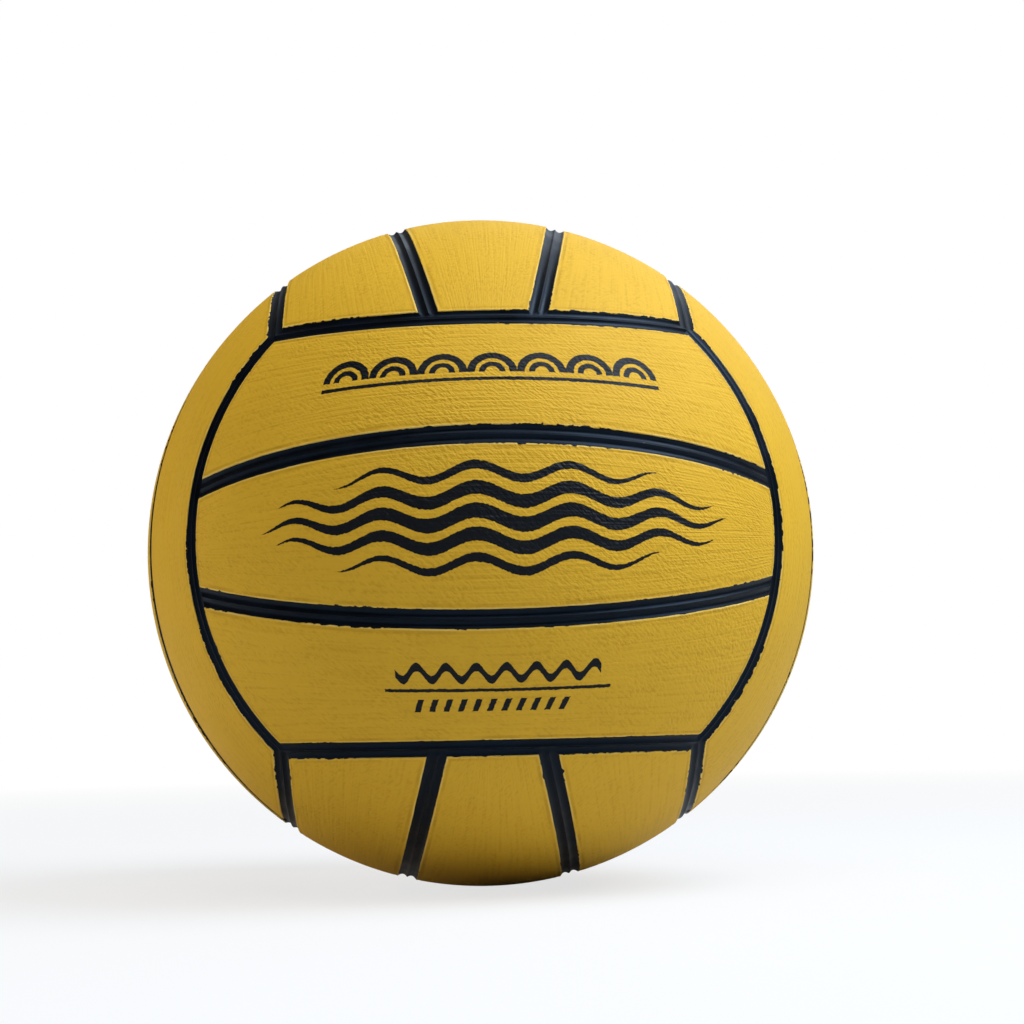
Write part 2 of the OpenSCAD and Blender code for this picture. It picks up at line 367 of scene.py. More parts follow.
def groove_section():
    """Depth of the channel's section at a distance from its middle line: the ridge's crest, then
    a round groove, then the lip at the panel's wall."""
    tree, given, result = new_tree(
        "groove_section", "GeometryNodeTree", ["Distance"] + section_sizes, ["Depth"])
    share = calc(tree, "DIVIDE", given["Distance"], given["Half Width"], clamp=True)
    from_middle = calc(tree, "MULTIPLY_ADD", share, 2.0, -1.0)
    arch = calc(tree, "SUBTRACT", 1.0, calc(tree, "MULTIPLY", from_middle, from_middle))
    soft = given["Softness"]
    soft_squared = calc(tree, "MULTIPLY", soft, soft)
    rounded = calc(tree, "SQRT", calc(tree, "MULTIPLY_ADD", arch, arch, soft_squared))
    highest = calc(tree, "SQRT", calc(tree, "ADD", soft_squared, 1.0))
    groove = calc(tree, "DIVIDE", calc(tree, "SUBTRACT", rounded, soft),
                  calc(tree, "SUBTRACT", highest, soft))
    rise = calc(tree, "SUBTRACT", given["Lip Depth"], given["Ridge Depth"])
    level = calc(tree, "MULTIPLY_ADD", share, rise, given["Ridge Depth"])
    depth = calc(tree, "MULTIPLY_ADD", groove, given["Groove Depth"], level)
    tree.links.new(depth, result["Depth"])
    return tree


def lattice_tree():
    """Presses the channels' section into one face, then turns the face onto all six sides of
    the ball, welds them and adds the carcass's inner wall."""
    section = groove_section()
    tree, given, result = new_tree(
        "channel_lattice", "GeometryNodeTree", ["Geometry"] + section_sizes + [
            "Pocket Depth", "Inner Radius", "Neck Hole Radius", "Weld", "Material"], ["Geometry"])

    def stored(name):
        found = add(tree, "GeometryNodeInputNamedAttribute", {"Name": name}, data_type="FLOAT")
        return found.outputs["Attribute"]

    def depth_at(distance):
        values = {name: given[name] for name in section_sizes}
        placed = add(tree, "GeometryNodeGroup", {"Distance": distance, **values}, node_tree=section)
        return placed.outputs["Depth"]

    border_depth = depth_at(stored("from_border"))
    deeper = calc(tree, "MAXIMUM", border_depth, depth_at(stored("from_seam")))
    half_way = calc(tree, "MULTIPLY", given["Half Width"], 0.5)
    near_border = calc(tree, "LESS_THAN", stored("from_border"), half_way)
    depth = mix(tree, near_border, deeper, border_depth, "FLOAT")
    depth = mix(tree, stored("in_pocket"), depth, given["Pocket Depth"], "FLOAT")
    place = add(tree, "GeometryNodeInputPosition").outputs[0]
    outward = add(tree, "ShaderNodeVectorMath", {0: place}, operation="NORMALIZE").outputs[0]
    inward = add(tree, "ShaderNodeVectorMath", {0: outward, "Scale": calc(tree, "MULTIPLY", depth, -1.0)},
                 operation="SCALE").outputs[0]
    pressed = add(tree, "GeometryNodeSetPosition", {"Geometry": given["Geometry"], "Offset": inward})

    faces = add(tree, "GeometryNodeGeometryToInstance", {"Geometry": pressed.outputs[0]}).outputs[0]
    for axis, copies in (((0, 0, 1), 2), ((1, 1, 1), 3)):
        repeated = add(tree, "GeometryNodeDuplicateElements", {"Geometry": faces, "Amount": copies},
                       domain="INSTANCE")
        turn = calc(tree, "MULTIPLY", repeated.outputs["Duplicate Index"], 2 * math.pi / copies)
        rotation = add(tree, "FunctionNodeAxisAngleToRotation", {"Axis": axis, "Angle": turn}).outputs[0]
        faces = add(tree, "GeometryNodeRotateInstances", {
            "Instances": repeated.outputs["Geometry"], "Rotation": rotation, "Local Space": False}).outputs[0]
    outside = add(tree, "GeometryNodeRealizeInstances", {"Geometry": faces}).outputs[0]
    outside = add(tree, "GeometryNodeMergeByDistance", {
        "Geometry": outside, "Distance": given["Weld"]}).outputs[0]
    inner = add(tree, "GeometryNodeMeshIcoSphere", {
        "Radius": given["Inner Radius"], "Subdivisions": inner_subdivisions})
    inner = add(tree, "GeometryNodeFlipFaces", {"Mesh": inner.outputs["Mesh"]}).outputs[0]
    whole = add(tree, "GeometryNodeJoinGeometry")
    tree.links.new(outside, whole.inputs[0])
    tree.links.new(inner, whole.inputs[0])
    drill = add(tree, "GeometryNodeMeshCylinder", {
        "Vertices": neck_hole_sides, "Radius": given["Neck Hole Radius"],
        "Depth": given["Inner Radius"]})
    drill = add(tree, "GeometryNodeTransform", {
        "Geometry": drill.outputs["Mesh"], "Translation": (0.0, ball_r, 0.0),
        "Rotation": (math.pi / 2, 0.0, 0.0)}).outputs[0]
    drilled = add(tree, "GeometryNodeMeshBoolean", {0: whole.outputs[0]},
                  operation="DIFFERENCE", solver="MANIFOLD")
    tree.links.new(drill, drilled.inputs[1])
    smooth = add(tree, "GeometryNodeSetShadeSmooth", {"Geometry": drilled.outputs[0]}, domain="FACE")
    bend = add(tree, "GeometryNodeInputMeshEdgeAngle").outputs[0]
    bent = calc(tree, "GREATER_THAN", bend, sharp_angle)
    smooth = add(tree, "GeometryNodeSetShadeSmooth", {
        "Geometry": smooth.outputs[0], "Selection": bent, "Shade Smooth": False}, domain="EDGE").outputs[0]
    painted = add(tree, "GeometryNodeSetMaterial", {
        "Geometry": smooth, "Material": given["Material"]}).outputs[0]
    tree.links.new(painted, result["Geometry"])
    return tree


def grown(name, mesh, tree, values):
    """An object made plain from a mesh and a node tree whose inputs have these values."""
    source = new_object(name + "_source", mesh)
    modifier = source.modifiers.new(name, "NODES")
    modifier.node_group = tree
    for item in tree.interface.items_tree:
        if item.in_out == "INPUT" and item.name in values:
            modifier[item.identifier] = values[item.name]
    plain = bpy.data.meshes.new_from_object(source.evaluated_get(bpy.context.evaluated_depsgraph_get()))
    source.modifiers.remove(modifier)
    bpy.data.objects.remove(source)
    return new_object(name, plain)


def soft_noise(tree, place, scale, detail):
    """Cloudy numbers about a half, with about this many clouds in a metre."""
    made = add(tree, "ShaderNodeTexNoise", {"Vector": place, "Scale": scale, "Detail": detail})
    return made.outputs["Fac"]


def moulded_surface():
    """The skin of a moulded rubber piece: broad dull smears, the mould's fine grain, and specks
    of dust that stick to it. Specks cover the given share of the cells they may lie in."""
    tree, given, result = new_tree(
        "moulded_surface", "ShaderNodeTree",
        ["Place", "Smear Size", "Grain Size", "Speck Cell", "Speck Share"],
        ["Smears", "Grain", "Specks"])
    place = given["Place"]

    def noise_of(size, detail):
        return soft_noise(tree, place, calc(tree, "DIVIDE", 1.0, given[size]), detail)

    cells = add(tree, "ShaderNodeTexVoronoi", {
        "Vector": place, "Scale": calc(tree, "DIVIDE", 1.0, given["Speck Cell"])}, feature="F1")
    chance = add(tree, "ShaderNodeSeparateColor", {"Color": cells.outputs["Color"]}).outputs[0]
    luck = calc(tree, "SUBTRACT", given["Speck Share"], chance)
    reach = calc(tree, "MULTIPLY", luck, speck_reach)
    tree.links.new(noise_of("Smear Size", 4.0), result["Smears"])
    tree.links.new(noise_of("Grain Size", 2.0), result["Grain"])
    tree.links.new(calc(tree, "LESS_THAN", cells.outputs["Distance"], reach), result["Specks"])
    return tree


moulded = moulded_surface()


def lay_skin(tree, out, colour, rough, height, depth, strength, constants=None):
    """A material's surface: its colour, how rough it is, and a relief pressed this deep into it."""
    bump = add(tree, "ShaderNodeBump", {"Height": height, "Distance": depth, "Strength": strength})
    skin = add(tree, "ShaderNodeBsdfPrincipled", {
        "Base Color": colour, "Roughness": rough, "Normal": bump.outputs["Normal"],
        **(constants or {})})
    tree.links.new(skin.outputs[0], out)


def black_rubber(name, dark, patchy, smoothest, roughest, speck_share, speck_colour):
    """Moulded black rubber: its black where it's clean and where it's smeared, how rough it is
    there, and the share and colour of the dust specks on it."""
    made, tree, out, place = new_material(name)
    surface = add(tree, "ShaderNodeGroup", {
        "Place": place, "Smear Size": smear_size, "Grain Size": mould_grain_size,
        "Speck Cell": speck_cell, "Speck Share": speck_share}, node_tree=moulded)
    smears = surface.outputs["Smears"]
    black = mix(tree, ramp(tree, smears, smear_start, smear_end), dark, patchy)
    colour = mix(tree, surface.outputs["Specks"], black, speck_colour)
    rough = ramp(tree, smears, smear_rough_start, smear_end, smoothest, roughest)
    lay_skin(tree, out, colour, rough, surface.outputs["Grain"], mould_grain_depth,
             mould_grain_strength,
             {"Specular IOR Level": black_gloss, "Specular Tint": black_gloss_tint})
    return made


carcass_rubber = black_rubber(
    "channel_rubber", carcass_black, carcass_worn, smoothest=0.30, roughest=0.46,
    speck_share=0.06, speck_colour=panel_dust)
lattice = grown("carcass_lattice", face_mesh, lattice_tree(), {
    "Half Width": channel_half, "Ridge Depth": ridge_depth, "Lip Depth": lip_depth,
    "Groove Depth": groove_depth, "Softness": crest_softness, "Pocket Depth": panel_t + cement_t,
    "Inner Radius": carcass_in_r, "Neck Hole Radius": neck_hole_r, "Weld": weld_reach,
    "Material": carcass_rubber})
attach(lattice, "root")
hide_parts("carcass")


# Cover panels: eighteen strips of yellow rubber, cut from calendered sheet with a fine pebbled
# skin, cemented into the carcass's pockets and cured there. Each rim is rounded, and the black
# of the channels runs up its wall to a ragged edge.
rim_round = 0.0003
rim_steps = 4
rim_hollow_place = 0.00105
rim_hollow_width = 0.00045
rim_hollow_depth = 0.00008
rim_lines = (0.00045, 0.0006, 0.00075, 0.0009, 0.00105, 0.0012, 0.0014, 0.0017, 0.0022, 0.003)
panel_step = 0.0025
rim_wander = 0.00009
wander_length = 0.0035
wander_reach = 0.002
wander_seed = 4
centre_width = 0.0475
outer_width = 0.0415
# The grid round the valve's hole is cut out this far from its middle, and two rings of points
# lead from there to the hole's own lines
valve_patch_half = 0.009
outer_ring_shares = (1 / 3, 2 / 3)
panel_yellow = (0.675, 0.385, 0.026, 1.0)
# A deeper yellow for real mottling and for painted shade in the grain's hollows
panel_mottled_and_shaded = (0.52, 0.280, 0.013, 1.0)
# Rim colours that stand in for light: a painted highlight on the rounding, painted shade in the hollow behind
# it
rim_painted_highlight = (0.74, 0.53, 0.15, 1.0)
rim_painted_shade = (0.40, 0.20, 0.008, 1.0)
ink_black = (0.0030, 0.0042, 0.0062, 1.0)
# How deep the grain is pressed: the printed front's strips come from a coarser part of the sheet
plain_relief = 0.0003
printed_relief = 0.0007
line_spacing = 0.00105
line_stretch = 0.035
line_weight = 0.7
pebble_size = 0.00095
pebble_lean = math.radians(-40)
pebble_stretch = 2.0
pebbled_patches = 60.0
pebbled_between = (0.35, 0.6)
least_pebbled = 0.35
# The grain's low places get painted shade between these heights, and this share of it
hollow_shade_between = (0.5, 0.25)
grain_strength = 0.7
hollow_shade_share = 0.5
mottling_size = 0.022
mottling_share = 0.35
# The rim's painted light: a painted highlight on its rounding and painted shade in the hollow behind it,
# in patches. Each one's distance from the wall, its reach to both sides of that, and its least and most share
# along the rim
rim_light_patch_size = 0.012
rim_light_patch_between = (0.35, 0.6)
tint_core = 0.3
rim_painted_light = ((rim_painted_highlight, 0.00012, 0.0005, 0.1, 0.7), (rim_painted_shade, 0.0011, 0.0007, 0.0, 0.45))
# The black's edge lies below the rim, and climbs over it in scallops where the work was untidy
paint_level = -0.00022
scallop_size = 0.0019
scallop_height = 0.0022
scallop_level = 0.33
least_untidy = 0.1
untidy_size = 0.035
untidy_between = (0.45, 0.62)
ink_fray_size = 0.0009
ink_fray = 0.0007
ink_limit = -0.00025
panel_roughness = 0.64
ink_roughness = 0.5
panel_gloss = 0.14

round_lines = [rim_round * (1 - math.sin(math.pi / 2 * (1 - k / rim_steps))) for k in range(rim_steps + 1)]
insets = np.array(sorted(set(round_lines)) + list(rim_lines))


def rim_drop(inset):
    """How far the rim lies below the panel's face: its rounding, then the shallow hollow that the
    mould's edge leaves behind it."""
    reach = np.clip(rim_round - inset, 0, rim_round)
    hollow = rim_hollow_depth * np.exp(-((inset - rim_hollow_place) / rim_hollow_width) ** 2)
    return rim_round - np.sqrt(rim_round ** 2 - reach ** 2) + hollow


def panel_plan(row, width):
    """Where a panel's lines and columns cross on the front face, how far each crossing is from
    the wall, and its place on the strip. Row 1 is the upper strip, 0 the centre strip."""
    far = insets[-1]
    steps = np.linspace(0, 1, int((width - 2 * far) / panel_step) + 2)[1:-1]
    if row:
        low_lines = [over_seam(channel_half + e) for e in insets]
        high_lines = [under_border(channel_half + e) for e in insets]
    else:
        low_lines = [mirrored(over_seam(-channel_half - e)) for e in insets]
        high_lines = [over_seam(-channel_half - e) for e in insets]
    lines = low_lines + [between(low_lines[-1], high_lines[-1], s) for s in steps] + high_lines[::-1]
    row_inset = np.concatenate([insets, np.full(len(steps), far), insets[::-1]])
    row_inset = np.minimum(row_inset, far)
    length = 2 * ball_r * end_angle(between(low_lines[-1], high_lines[-1], 0.5), channel_half)
    shares = np.linspace(-1, 1, int((length - 2 * far) / panel_step) + 2)[1:-1]
    points, angles = on_face(lines, channel_half + insets, shares, channel_half + far)
    column_inset = np.concatenate([insets, np.full(len(shares), far), insets[::-1]])
    inset = np.minimum(row_inset[:, None], column_inset[None, :])
    across = np.concatenate([insets, far + steps * (width - 2 * far), width - insets[::-1]])
    along = angles[..., 0] * ball_r
    strip = np.stack([along, np.broadcast_to(across[:, None], along.shape)], 2)
    return points, inset, strip


# The wander is the same in every run
noise.seed_set(wander_seed)


def wander(point):
    """The small sideways shift of a hand-trimmed rim."""
    shift = noise.noise_vector(Vector(point) / wander_length)
    outward = Vector(point).normalized()
    return np.array(shift - shift.dot(outward) * outward) * rim_wander


def punched(points, inset, strip, keep_faces):
    """Cuts the valve's round hole in the middle of a strip, with rings of points round it."""
    rows, columns = inset.shape
    off_axis = points * ball_r
    i0, i1 = np.where(abs(off_axis[:, columns // 2, 2]) < valve_patch_half)[0][[0, -1]]
    j0, j1 = np.where(abs(off_axis[rows // 2, :, 0]) < valve_patch_half)[0][[0, -1]]
    number = np.arange(rows * columns).reshape(rows, columns)
    square = np.concatenate([
        number[i0, j0:j1], number[i0:i1, j1], number[i1, j1:j0:-1], number[i1:i0:-1, j0]])
    low_corner = keep_faces[:, 0]
    inside = (low_corner // columns >= i0) & (low_corner // columns < i1) & (
        low_corner % columns >= j0) & (low_corner % columns < j1)
    x, z = off_axis.reshape(-1, 3)[square][:, [0, 2]].T
    angle = np.arctan2(z, x)
    radii = [np.hypot(x, z) * (1 - s) + (neck_hole_r + insets[-1]) * s for s in outer_ring_shares]
    radii += [np.full(len(square), neck_hole_r + e) for e in insets[::-1]]
    ring_inset = [insets[-1]] * len(outer_ring_shares) + list(insets[::-1])
    rings = []
    for radius in radii:
        px, pz = radius * np.cos(angle), radius * np.sin(angle)
        rings.append(np.stack([px, -np.sqrt(ball_r ** 2 - px ** 2 - pz ** 2), pz], 1) / ball_r)
    rings = np.stack(rings)
    ring_numbers = np.arange(len(rings) * len(square)).reshape(len(rings), -1) + rows * columns
    loops = np.concatenate([square[None], ring_numbers])
    after = np.roll(loops, -1, 1)
    bridge = np.stack([loops[:-1], after[:-1], after[1:], loops[1:]], -1).reshape(-1, 4)
    middle = strip[rows // 2, columns // 2, 1] - ball_r * math.asin(points[rows // 2, columns // 2, 2])
    ring_strip = np.stack([np.arctan2(rings[..., 0], -rings[..., 1]), np.arcsin(rings[..., 2])], -1) * ball_r
    ring_strip[..., 1] += middle
    inset_all = np.concatenate([inset.ravel(), np.repeat(ring_inset, len(square))])
    return (np.concatenate([points.reshape(-1, 3), rings.reshape(-1, 3)]), inset_all,
            np.concatenate([strip.reshape(-1, 2), ring_strip.reshape(-1, 2)]),
            np.concatenate([keep_faces[~inside], bridge]), loops[-1])


def panel_mesh(name, row, width, turn, with_hole):
    """A closed panel: the grid of its face with the shaped rim, its walls and its underside."""
    points, inset, strip = panel_plan(row, width)
    rows, columns = inset.shape
    number = np.arange(rows * columns).reshape(rows, columns)
    outline = np.concatenate([number[0, :-1], number[:-1, -1], number[-1, :0:-1], number[:0:-1, 0]])
    face = grid_faces(rows, columns)
    wall_tops = [(outline, np.roll(outline, -1))]
    if with_hole:
        points, inset, strip, face, hole = punched(points, inset, strip, face)
        wall_tops.append((np.roll(hole, -1), hole))
    points, inset, strip = points.reshape(-1, 3), inset.ravel(), strip.reshape(-1, 2)
    count = len(points)
    turned = points @ np.array(turn.to_3x3()).T
    top = turned * (ball_r - rim_drop(inset))[:, None]
    for k in np.flatnonzero(inset[:rows * columns] < wander_reach):
        top[k] += wander(turned[k] * ball_r) * (1 - inset[k] / wander_reach)
    under = top * ((ball_r - panel_t) / np.linalg.norm(top, axis=1))[:, None]
    walls = [np.stack([start, start + count, end + count, end], 1) for start, end in wall_tops]
    every_face = np.concatenate([face, face[:, ::-1] + count] + walls)
    used, every_face = np.unique(every_face, return_inverse=True)
    every_face = every_face.reshape(-1, 4)
    made = mesh_from(name, np.concatenate([top, under])[used], every_face,
                     {"from_wall": np.concatenate([inset, np.full(count, -panel_t)])[used]})
    layer = made.uv_layers.new(name="strip")
    corner_strip = np.tile(strip, (2, 1))[used][every_face.ravel()]
    layer.uv.foreach_set("vector", corner_strip.astype(np.float32).ravel())
    made.shade_smooth()
    return made


def panel_grain():
    """Fine lines along the strip from the calender and short pebbles that lean across them."""
    tree, given, result = new_tree(
        "panel_grain", "ShaderNodeTree", ["Strip", "Line Spacing", "Pebble Size"], ["Height", "Hollow Shade"])
    strip = given["Strip"]

    def noise_on(vector, size):
        return soft_noise(tree, vector, calc(tree, "DIVIDE", 1.0, given[size]), 1.0)

    drawn_out = add(tree, "ShaderNodeMapping", {
        "Vector": strip, "Scale": (line_stretch, 1.0, 1.0)}).outputs[0]
    lined = noise_on(drawn_out, "Line Spacing")
    leaning = add(tree, "ShaderNodeMapping", {
        "Vector": strip, "Rotation": (0.0, 0.0, pebble_lean), "Scale": (pebble_stretch, 1.0, 1.0)},
        vector_type="TEXTURE").outputs[0]
    pebbles = noise_on(leaning, "Pebble Size")
    pebbled = ramp(tree, soft_noise(tree, strip, pebbled_patches, 2.0), *pebbled_between, least_pebbled)
    lines_up = calc(tree, "MULTIPLY", calc(tree, "SUBTRACT", lined, 0.5), line_weight)
    pebbles_up = calc(tree, "MULTIPLY", calc(tree, "SUBTRACT", pebbles, 0.5), pebbled)
    height = calc(tree, "ADD", calc(tree, "ADD", lines_up, pebbles_up), 0.5)
    tree.links.new(height, result["Height"])
    # Where the grain lies low it's darkened: painted shade in its hollows
    tree.links.new(ramp(tree, height, *hollow_shade_between), result["Hollow Shade"])
    return tree


grain_group = panel_grain()


def panel_rubber(name, relief, print_cover=None):
    """Matte yellow rubber with the grain pressed this deep, faint mottling, painted shade in the grain's
    hollows, a painted highlight and painted shade along its rim, and the black flank below it. A print's
    cover is how far a place lies inside its ink."""
    made, tree, out, place = new_material(name)
    strip = add(tree, "ShaderNodeUVMap", uv_map="strip").outputs[0]
    grain = add(tree, "ShaderNodeGroup", {
        "Strip": strip, "Line Spacing": line_spacing, "Pebble Size": pebble_size}, node_tree=grain_group)

    def noise_of(size, detail):
        return soft_noise(tree, place, 1 / size, detail)

    mottling = calc(tree, "MULTIPLY", noise_of(mottling_size, 5.0), mottling_share)
    # Painted shade in the grain's hollows, together with real mottling, turns the yellow deeper
    mottle_and_shade = calc(tree, "MULTIPLY_ADD", grain.outputs["Hollow Shade"], hollow_shade_share, mottling, clamp=True)
    yellow = mix(tree, mottle_and_shade, panel_yellow, panel_mottled_and_shaded)
    wall = add(tree, "ShaderNodeAttribute", attribute_name="from_wall").outputs["Fac"]
    scallops = calc(tree, "SUBTRACT", noise_of(scallop_size, 2.0), scallop_level)
    scallops = calc(tree, "MULTIPLY", scallops, scallop_height)
    untidy = ramp(tree, noise_of(untidy_size, 1.0), *untidy_between, least_untidy)
    paint_edge = calc(tree, "MULTIPLY_ADD", scallops, untidy, paint_level)
    painted = calc(tree, "LESS_THAN", wall, paint_edge)
    # Patches along the rim where the painted highlight and painted shade are stronger
    patchy = noise_of(rim_light_patch_size, 3.0)
    # Painted highlight on the rim's rounding and painted shade in the hollow behind it
    for tint, middle, half, least, most in rim_painted_light:
        off = calc(tree, "ABSOLUTE", calc(tree, "SUBTRACT", wall, middle))
        near = ramp(tree, off, half, half * tint_core, kind="SMOOTHSTEP")
        share = calc(tree, "MULTIPLY", near, ramp(tree, patchy, *rim_light_patch_between, least, most))
        yellow = mix(tree, share, yellow, tint)
    if print_cover:
        cover = print_cover(tree, strip)
        fray = calc(tree, "SUBTRACT", noise_of(ink_fray_size, 2.0), 0.5)
        frayed = calc(tree, "MULTIPLY_ADD", fray, ink_fray, cover)
        inked = calc(tree, "MULTIPLY", calc(tree, "GREATER_THAN", frayed, 0.0),
                     calc(tree, "GREATER_THAN", cover, ink_limit))
        painted = calc(tree, "MAXIMUM", painted, inked)
    colour = mix(tree, painted, yellow, ink_black)
    rough = mix(tree, painted, panel_roughness, ink_roughness, "FLOAT")
    lay_skin(tree, out, colour, rough, grain.outputs["Height"], relief, grain_strength,
             {"Specular IOR Level": panel_gloss})
    return made


half_turn = Matrix.Rotation(math.pi, 4, "Z")
third = Matrix.Rotation(2 * math.pi / 3, 4, Vector((1, 1, 1)))
flipped = Matrix.Rotation(math.pi, 4, "Y")
upright = Matrix.Identity(4)
# Each face: its turn from the front, then its names for the strips that are the front's upper
# and lower ones
face_turns = {
    "front": (upright, "upper", "lower"),
    "back": (half_turn, "upper", "lower"),
    "bottom": (third, "right", "left"),
    "top": (third @ half_turn, "right", "left"),
    "left": (third @ third, "rear", "front"),
    "right": (third @ third @ half_turn, "rear", "front"),
}
panels = {}
plain_rubber = panel_rubber("cover_rubber", plain_relief)
for face_name, (turn, upper_name, lower_name) in face_turns.items():
    for strip_name, row, width, strip_turn in (
            (upper_name, 1, outer_width, turn), ("centre", 0, centre_width, turn),
            (lower_name, 1, outer_width, turn @ flipped)):
        node_name = f"{face_name}_{strip_name}_panel"
        mesh = panel_mesh(node_name + "_skin", row, width, strip_turn, node_name == "back_centre_panel")
        mesh.materials.append(plain_rubber)
        panels[node_name] = new_object(node_name + "_skin", mesh)
        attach(panels[node_name], "root")
        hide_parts(node_name)


# Print: black ink on the front's three strips, pressed through a screen and cured with the ball.
# The upper strip has a row of double scallops, the centre strip a bank of waves, and the lower
# strip small crests over a rule and a row of dashes.
scallop_pitch = 0.0162
scallop_row_half = scallop_pitch * 7 / 2
scallop_bands = ((0.0069, 0.0013), (0.0033, 0.0010))
wave_spacing = 0.0066
wave_rise = 0.0021
wave_length = 0.028
wave_half_thickness = 0.0026
wave_taper = 0.5
wave_least = 0.0004
bank_half_length = 0.076
bank_half_height = 0.0178
bank_place = (0.003, 0.0022)
strip_place = (0.002, -0.0005)
crest_length = 0.0094
crest_rise = 0.0024
crest_half = 0.0016
crest_height = 0.0058
crest_row_half = 0.0329
dash_pitch = 0.0048
dash_half = 0.0010
dash_lean = -0.35
# Straight bars: how far each lies below its print's middle, half its height and half its length
scallop_rule = (0.0028, 0.0007, scallop_row_half)
crest_rule = (0.0006, 0.0006, 0.037)
dash_row = (0.0064, 0.0024, 0.0264)


def print_place(tree, strip, width, middle, turned):
    """Distances along and up the strip from the print's middle, which lies off the strip's own."""
    side = -1.0 if turned else 1.0
    along, up = middle
    parts = add(tree, "ShaderNodeSeparateXYZ", {0: strip})
    from_middle = calc(tree, "SUBTRACT", parts.outputs["Y"], width / 2)
    return (calc(tree, "MULTIPLY_ADD", parts.outputs["X"], side, -along),
            calc(tree, "MULTIPLY_ADD", from_middle, side, -up))


def band(tree, distance, half_width):
    """How far a place lies inside a line, from its distance to the line's middle."""
    return calc(tree, "SUBTRACT", half_width, calc(tree, "ABSOLUTE", distance))


def both(tree, first, *others):
    """How far a place lies inside all of these shapes."""
    for other in others:
        first = calc(tree, "MINIMUM", first, other)
    return first


def either(tree, first, *others):
    """How far a place lies inside one or other of these shapes."""
    for other in others:
        first = calc(tree, "MAXIMUM", first, other)
    return first


def bar(tree, along, up, drop, half_height, half_length):
    """How far a place lies inside a level bar that lies this far down."""
    level = band(tree, calc(tree, "ADD", up, drop), half_height)
    return both(tree, level, band(tree, along, half_length))


def wave_at(tree, along, length, rise):
    turn = calc(tree, "MULTIPLY", along, 2 * math.pi / length)
    return calc(tree, "MULTIPLY", calc(tree, "SINE", turn), rise)


def scallop_cover(tree, strip):
    """Half rings side by side, one inside the other, over a rule."""
    along, up = print_place(tree, strip, outer_width, strip_place, False)
    cell = calc(tree, "WRAP", along, scallop_pitch / 2, -scallop_pitch / 2)
    up_squared = calc(tree, "MULTIPLY", up, up)
    length = calc(tree, "SQRT", calc(tree, "MULTIPLY_ADD", cell, cell, up_squared))
    rings = [band(tree, calc(tree, "SUBTRACT", length, radius), half) for radius, half in scallop_bands]
    arches = both(tree, either(tree, *rings), up, band(tree, along, scallop_row_half))
    return either(tree, arches, bar(tree, along, up, *scallop_rule))


def wave_cover(tree, strip):
    """Five waves one over the other, which thin out towards the ends of a lens."""
    along, up = print_place(tree, strip, centre_width, bank_place, False)
    swung = calc(tree, "ADD", up, wave_at(tree, along, wave_length, wave_rise))
    level = calc(tree, "DIVIDE", swung, wave_spacing)
    number = calc(tree, "ROUND", level)
    off_line = calc(tree, "MULTIPLY", calc(tree, "SUBTRACT", level, number), wave_spacing)
    reach = calc(tree, "DIVIDE", along, bank_half_length)
    height = calc(tree, "MULTIPLY", number, wave_spacing / bank_half_height)
    height_squared = calc(tree, "MULTIPLY", height, height)
    room = calc(tree, "SUBTRACT", 1.0, calc(tree, "MULTIPLY_ADD", reach, reach, height_squared))
    full = calc(tree, "POWER", calc(tree, "MAXIMUM", room, 0.0), wave_taper)
    thickness = calc(tree, "MULTIPLY_ADD", full, wave_half_thickness, -wave_least)
    return calc(tree, "SUBTRACT", thickness, calc(tree, "ABSOLUTE", off_line))


def crest_cover(tree, strip):
    """A short line of small waves, a rule under it and a row of leaning dashes."""
    along, up = print_place(tree, strip, outer_width, strip_place, True)
    above_line = calc(tree, "SUBTRACT", up, crest_height)
    off_crest = calc(tree, "SUBTRACT", above_line, wave_at(tree, along, crest_length, crest_rise))
    crests = both(tree, band(tree, off_crest, crest_half), band(tree, along, crest_row_half))
    rule = bar(tree, along, up, *crest_rule)
    lean = calc(tree, "MULTIPLY_ADD", up, dash_lean, along)
    dash = band(tree, calc(tree, "WRAP", lean, dash_pitch / 2, -dash_pitch / 2), dash_half)
    return either(tree, crests, rule, both(tree, dash, bar(tree, lean, up, *dash_row)))


for node_name, print_name, cover in (
        ("front_upper_panel", "scallop_print", scallop_cover),
        ("front_centre_panel", "wave_print", wave_cover),
        ("front_lower_panel", "crest_print", crest_cover)):
    panels[node_name].data.materials[0] = panel_rubber(print_name, printed_relief, cover)


# Valve: a black rubber housing, bonded into the bladder, whose neck comes out through the back's
# centre panel. A plug of softer rubber is pushed into its pocket, with a hole for the pump's
# needle, and closes by itself.
neck_r = 0.0042
neck_recess = 0.0003
housing_length = 0.018
flange_r = 0.013
flange_out = 0.0032
flange_t = 0.0012
core_recess = 0.0007
core_head_r = 0.0032
core_head_t = 0.0014
core_shank_r = 0.0023
core_bulb_r = 0.0029
core_bulb_t = 0.004
core_length = 0.014
bulb_share = 0.65
core_play = 0.0001
needle_r = 0.0011
needle_depth = 0.007
mouth_r = 0.0018
mouth_depth = 0.0009
air_hole_r = 0.0015
valve_round = 0.00025
valve_segments = 72
longest_cut = 0.45
valve_black = (0.0075, 0.0085, 0.0105, 1.0)
core_black = (0.0120, 0.0128, 0.0145, 1.0)
valve_worn = (0.0170, 0.0180, 0.0200, 1.0)
valve_dust = (0.05, 0.05, 0.05, 1.0)


def eased(outline, radius, steps=4):
    """An outline of (radius, height) with every corner off the axis rounded."""
    corners = [Vector(point) for point in outline]
    made = []
    for k, corner in enumerate(corners):
        back = corners[k - 1] - corner
        ahead = corners[(k + 1) % len(corners)] - corner
        if corner.x == 0:
            made.append(corner)
            continue
        cut = min(radius, back.length * longest_cut, ahead.length * longest_cut)
        start, end = corner + back.normalized() * cut, corner + ahead.normalized() * cut
        for step in range(steps + 1):
            t = step / steps
            made.append(start * (1 - t) ** 2 + corner * 2 * t * (1 - t) + end * t ** 2)
    return made


